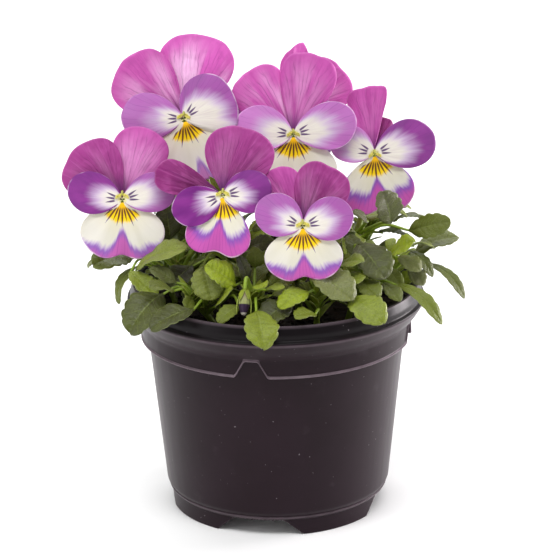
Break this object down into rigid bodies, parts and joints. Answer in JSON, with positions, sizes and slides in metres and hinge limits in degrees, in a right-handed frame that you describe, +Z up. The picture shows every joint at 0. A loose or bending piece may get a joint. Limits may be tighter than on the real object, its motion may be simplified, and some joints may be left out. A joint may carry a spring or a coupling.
{
  "type": "potted horned violet",
  "caption": "Bushy violet with two-tone purple and cream blooms over toothed green leaves, growing in soil in a tapered plastic nursery pot.",
  "frame": {"origin": "on the ground, under the middle of the whole plant's box; the pot's axis stands at x 3.8 mm, y 2.8 mm", "axes": "+Z up; the blooms face -Y and slightly up; +X to the right seen from the front"},
  "size_m": [0.1405, 0.1105, 0.1659],
  "materials": {
    "pot": "semi-matte dark aubergine brown plastic",
    "soil": "damp dark potting soil",
    "upper_petals": "velvety magenta purple petal with fine darker veins",
    "front_petals": "soft cream petal washed with violet, yellow eye with dark lines",
    "foliage": "smooth green leaf and stem with a slight gloss"
  },
  "bodies": {
    "root": {"pot": "pot", "soil": "soil", "bloom_top_left_upper_petals": "upper_petals", "bloom_top_left_front_petals": "front_petals", "bloom_top_left_shoot": "foliage", "bloom_left_upper_petals": "upper_petals", "bloom_left_front_petals": "front_petals", "bloom_left_shoot": "foliage", "bloom_middle_left_upper_petals": "upper_petals", "bloom_middle_left_front_petals": "front_petals", "bloom_middle_left_shoot": "foliage", "bloom_front_upper_petals": "upper_petals", "bloom_front_front_petals": "front_petals", "bloom_front_shoot": "foliage", "bloom_top_middle_upper_petals": "upper_petals", "bloom_top_middle_front_petals": "front_petals", "bloom_top_middle_shoot": "foliage", "bloom_right_upper_petals": "upper_petals", "bloom_right_front_petals": "front_petals", "bloom_right_shoot": "foliage", "bloom_back_upper_petals": "upper_petals", "bloom_back_front_petals": "front_petals", "bloom_back_shoot": "foliage", "leafy_shoot_front_left": "foliage", "leafy_shoot_front": "foliage", "leafy_shoot_front_right": "foliage", "leafy_shoot_right_front": "foliage", "leafy_shoot_right": "foliage", "leafy_shoot_back_right": "foliage", "leafy_shoot_back_left": "foliage", "leafy_shoot_left": "foliage"}
  },
  "joints": []
}
